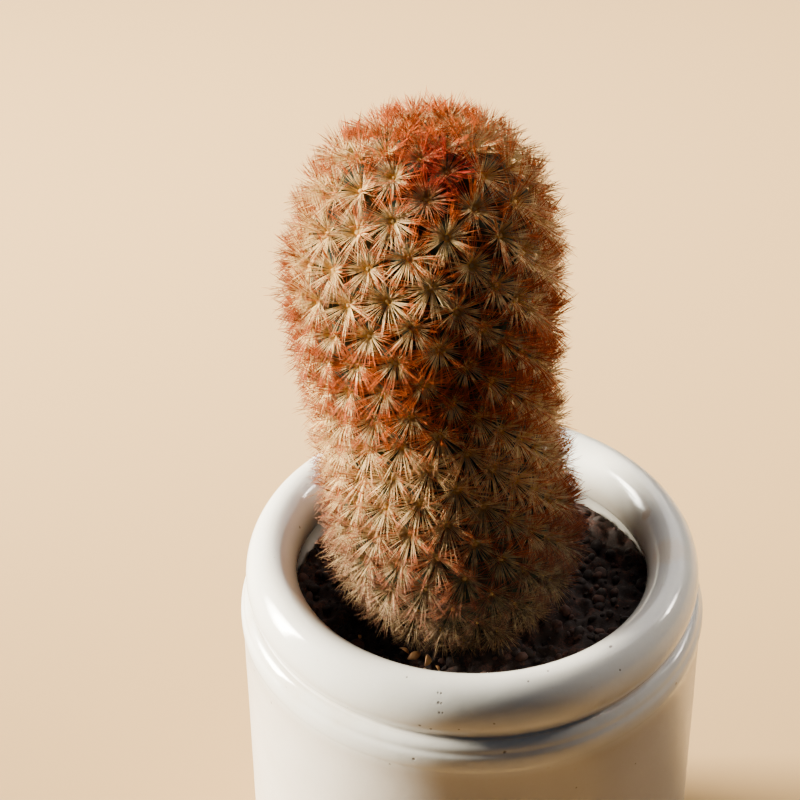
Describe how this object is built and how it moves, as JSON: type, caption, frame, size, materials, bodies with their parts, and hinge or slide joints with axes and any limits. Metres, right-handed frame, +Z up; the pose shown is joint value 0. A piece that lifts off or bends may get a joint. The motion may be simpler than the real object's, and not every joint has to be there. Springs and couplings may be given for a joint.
{
  "type": "potted mammillaria cactus",
  "caption": "Columnar mammillaria with radiating rust-tipped spines, rooted in potting mix in a straight ivory stoneware jar with a rolled lip.",
  "frame": {"origin": "centre of the jar's foot, on the surface that it stands on", "axes": "+Z up along the jar's axis, -Y towards the viewer, +X to the viewer's right; the plant leans towards -X"},
  "size_m": [0.0908, 0.0908, 0.1977],
  "materials": {
    "stoneware": "gloss",
    "potting_mix": "matte",
    "cactus": "matte"
  },
  "bodies": {
    "root": {"pot": "stoneware", "soil": "potting_mix", "cactus": "cactus"}
  },
  "joints": []
}
